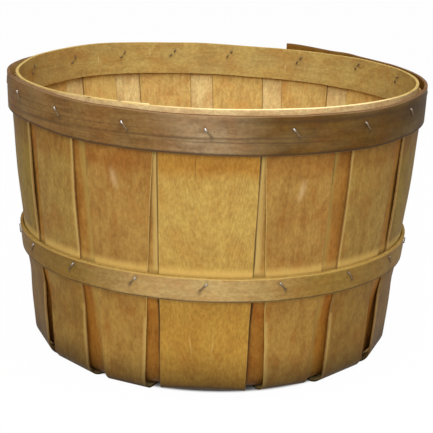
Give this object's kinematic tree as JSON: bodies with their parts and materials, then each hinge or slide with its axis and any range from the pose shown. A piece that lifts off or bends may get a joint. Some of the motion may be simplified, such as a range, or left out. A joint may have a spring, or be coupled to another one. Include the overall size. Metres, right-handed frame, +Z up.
{
  "type": "peck basket",
  "caption": "Round peck basket of crossed bent veneer staves, held by an outer and an inner rim hoop, a middle hoop and wire staples; open top, no handles.",
  "frame": {"origin": "middle of the basket's box, on the surface that it stands on", "axes": "+Z up; -Y is the front of the picture, where the widest stave is; +X is to the right of it"},
  "size_m": [0.2814, 0.2816, 0.1873],
  "materials": {
    "stave_wood": "satin bare veneer, golden tan",
    "inner_stave_wood": "satin bare veneer, orange tan",
    "outer_hoop_wood": "matt weathered veneer, dark brown",
    "inner_hoop_wood": "matt bare veneer, olive tan",
    "middle_hoop_wood": "matt bare veneer, olive tan",
    "staple_wire": "drawn steel wire"
  },
  "bodies": {
    "root": {"outer_stave_1": "stave_wood", "outer_stave_2": "stave_wood", "outer_stave_3": "stave_wood", "outer_stave_4": "stave_wood", "outer_stave_5": "stave_wood", "outer_stave_6": "stave_wood", "outer_stave_7": "stave_wood", "outer_stave_8": "stave_wood", "inner_stave_1": "inner_stave_wood", "inner_stave_2": "inner_stave_wood", "inner_stave_3": "inner_stave_wood", "inner_stave_4": "inner_stave_wood", "inner_stave_5": "inner_stave_wood", "inner_stave_6": "inner_stave_wood", "inner_stave_7": "inner_stave_wood", "inner_stave_8": "inner_stave_wood", "outer_rim_hoop": "outer_hoop_wood", "inner_rim_hoop": "inner_hoop_wood", "middle_hoop": "middle_hoop_wood", "rim_staple_01": "staple_wire", "rim_staple_02": "staple_wire", "rim_staple_03": "staple_wire", "rim_staple_04": "staple_wire", "rim_staple_05": "staple_wire", "rim_staple_06": "staple_wire", "rim_staple_07": "staple_wire", "rim_staple_08": "staple_wire", "rim_staple_09": "staple_wire", "rim_staple_10": "staple_wire", "rim_staple_11": "staple_wire", "rim_staple_12": "staple_wire", "rim_staple_13": "staple_wire", "rim_staple_14": "staple_wire", "rim_staple_15": "staple_wire", "rim_staple_16": "staple_wire", "rim_staple_17": "staple_wire", "middle_staple_01": "staple_wire", "middle_staple_02": "staple_wire", "middle_staple_03": "staple_wire", "middle_staple_04": "staple_wire", "middle_staple_05": "staple_wire", "middle_staple_06": "staple_wire", "middle_staple_07": "staple_wire", "middle_staple_08": "staple_wire", "middle_staple_09": "staple_wire", "middle_staple_10": "staple_wire", "middle_staple_11": "staple_wire", "middle_staple_12": "staple_wire", "middle_staple_13": "staple_wire", "middle_staple_14": "staple_wire", "middle_staple_15": "staple_wire", "middle_staple_16": "staple_wire", "middle_staple_17": "staple_wire", "middle_staple_18": "staple_wire", "bottom_staple": "staple_wire"}
  },
  "joints": []
}
